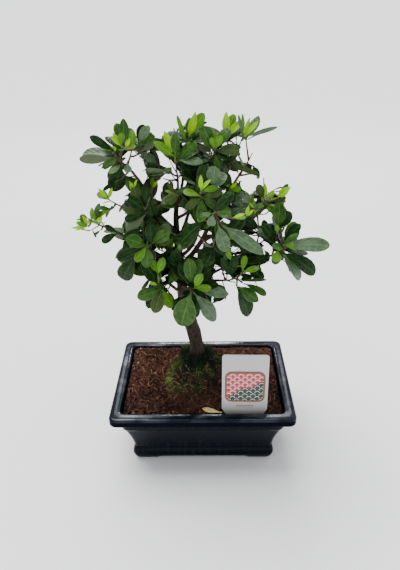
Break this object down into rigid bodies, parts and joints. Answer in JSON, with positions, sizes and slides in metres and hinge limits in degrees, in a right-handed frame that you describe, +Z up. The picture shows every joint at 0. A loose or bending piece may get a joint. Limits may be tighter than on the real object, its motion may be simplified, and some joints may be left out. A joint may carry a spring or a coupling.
{
  "type": "azalea bonsai",
  "caption": "Small evergreen azalea trained as a bonsai: leaning tapered trunk, tiered boughs and whorls of leaves, in a glazed rectangular pot of coir soil with a label.",
  "frame": {"origin": "on the ground under the middle of the pot, which is the middle of the whole plant's base", "axes": "+Z up, -Y towards the viewer and the plant label, +X along the pot's length to the viewer's right"},
  "size_m": [0.2403, 0.2029, 0.3796],
  "materials": {
    "pot_glaze": "deep navy-black glossy glaze, thinner and blue-grey along the rim",
    "soil_coir": "loose red-brown coir crumbs and fibres",
    "moss": "matted dark green and brown moss",
    "label_card": "semi-gloss white plastic card",
    "trunk_bark": "rough grey-brown bark with upright furrows",
    "bough_bark": "thin dark brown bark, greener on young wood",
    "foliage": "leathery dark green leaves with a soft gloss, lime green where young"
  },
  "bodies": {
    "root": {"bough_back_centre": "bough_bark", "bough_back_left": "bough_bark", "bough_back_low_left": "bough_bark", "bough_back_low_right": "bough_bark", "bough_back_right": "bough_bark", "bough_back_top": "bough_bark", "bough_back_upper_left": "bough_bark", "bough_back_upper_right": "bough_bark", "bough_centre_low": "bough_bark", "bough_far_left": "bough_bark", "bough_far_right": "bough_bark", "bough_front_centre": "bough_bark", "bough_front_upper": "bough_bark", "bough_left_middle": "bough_bark", "bough_left_shoot": "bough_bark", "bough_left_shoulder": "bough_bark", "bough_left_side": "bough_bark", "bough_lower_centre": "bough_bark", "bough_lower_left": "bough_bark", "bough_lower_right": "bough_bark", "bough_right_shoulder": "bough_bark", "bough_right_side": "bough_bark", "bough_right_spur": "bough_bark", "bough_top": "bough_bark", "bough_top_centre": "bough_bark", "bough_top_right": "bough_bark", "bough_upper_left": "bough_bark", "foliage_back_centre": "foliage", "foliage_back_left": "foliage", "foliage_back_low_left": "foliage", "foliage_back_low_right": "foliage", "foliage_back_right": "foliage", "foliage_back_top": "foliage", "foliage_back_upper_left": "foliage", "foliage_back_upper_right": "foliage", "foliage_centre_low": "foliage", "foliage_far_left": "foliage", "foliage_far_right": "foliage", "foliage_front_centre": "foliage", "foliage_front_upper": "foliage", "foliage_left_middle": "foliage", "foliage_left_shoot": "foliage", "foliage_left_shoulder": "foliage", "foliage_left_side": "foliage", "foliage_lower_centre": "foliage", "foliage_lower_left": "foliage", "foliage_lower_right": "foliage", "foliage_right_shoulder": "foliage", "foliage_right_side": "foliage", "foliage_right_spur": "foliage", "foliage_top": "foliage", "foliage_top_centre": "foliage", "foliage_top_left": "foliage", "foliage_top_right": "foliage", "foliage_upper_left": "foliage", "moss_mound": "moss", "plant_label": "label_card", "pot": "pot_glaze", "soil": "soil_coir", "trunk": "trunk_bark"}
  },
  "joints": []
}
